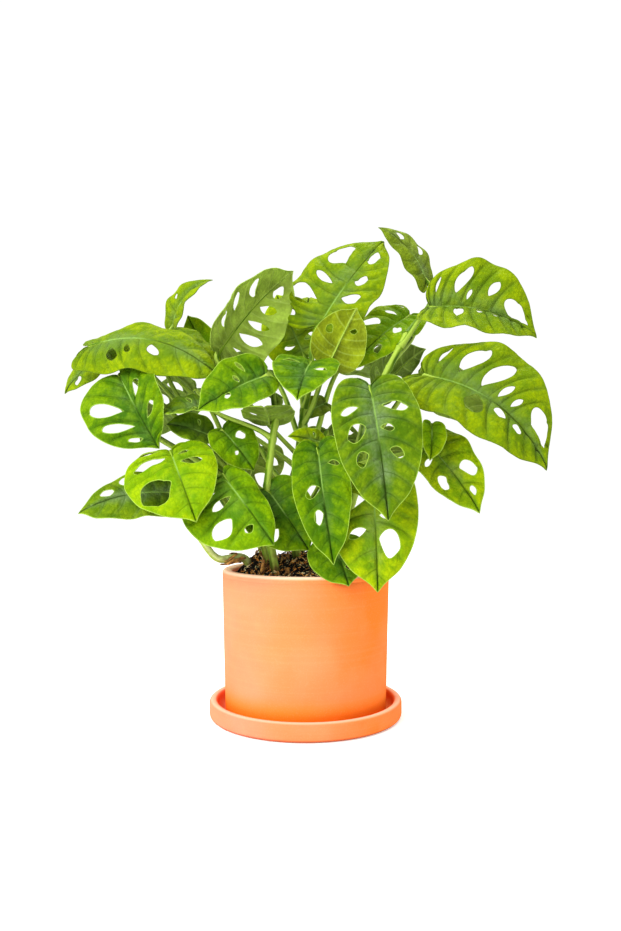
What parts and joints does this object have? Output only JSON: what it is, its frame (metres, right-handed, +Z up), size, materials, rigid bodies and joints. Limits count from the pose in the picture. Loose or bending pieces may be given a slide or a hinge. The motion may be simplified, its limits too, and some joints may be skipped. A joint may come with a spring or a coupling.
{
  "type": "potted monstera adansonii",
  "caption": "Bushy vine with holed, drip-tipped leaves on long stalks, standing in a plain cylinder pot of terracotta on its own saucer.",
  "frame": {"origin": "centre of the saucer's flat underside", "axes": "+Z up along the pot's axis, -Y towards the front, +X to the right seen from the front"},
  "size_m": [0.4263, 0.2476, 0.4482],
  "materials": {
    "terracotta": "matte fired clay",
    "leaf": "waxy semi-gloss",
    "stem": "satin",
    "soil": "loose coir and bark"
  },
  "bodies": {
    "root": {"saucer": "terracotta", "pot": "terracotta", "vine_1": "stem", "vine_2": "stem", "vine_3": "stem", "vine_4": "stem", "vine_5": "stem", "vine_6": "stem", "vine_7": "stem", "vine_8": "stem", "soil": "soil", "leaf_01": "leaf", "leaf_02": "leaf", "leaf_03": "leaf", "leaf_04": "leaf", "leaf_05": "leaf", "leaf_06": "leaf", "leaf_07": "leaf", "leaf_08": "leaf", "leaf_09": "leaf", "leaf_10": "leaf", "leaf_11": "leaf", "leaf_12": "leaf", "leaf_13": "leaf", "leaf_14": "leaf", "leaf_15": "leaf", "leaf_16": "leaf", "leaf_17": "leaf", "leaf_18": "leaf", "leaf_19": "leaf", "leaf_20": "leaf", "leaf_21": "leaf", "leaf_22": "leaf", "leaf_23": "leaf", "leaf_24": "leaf", "leaf_25": "leaf", "leaf_26": "leaf", "leaf_27": "leaf", "leaf_28": "leaf", "leaf_29": "leaf", "leaf_30": "leaf", "leaf_31": "leaf", "leaf_32": "leaf", "leaf_33": "leaf", "leaf_34": "leaf", "leaf_35": "leaf", "leaf_36": "leaf", "leaf_37": "leaf", "leaf_38": "leaf", "leaf_39": "leaf", "leaf_40": "leaf", "leaf_41": "leaf", "leaf_42": "leaf", "leaf_43": "leaf"}
  },
  "joints": []
}
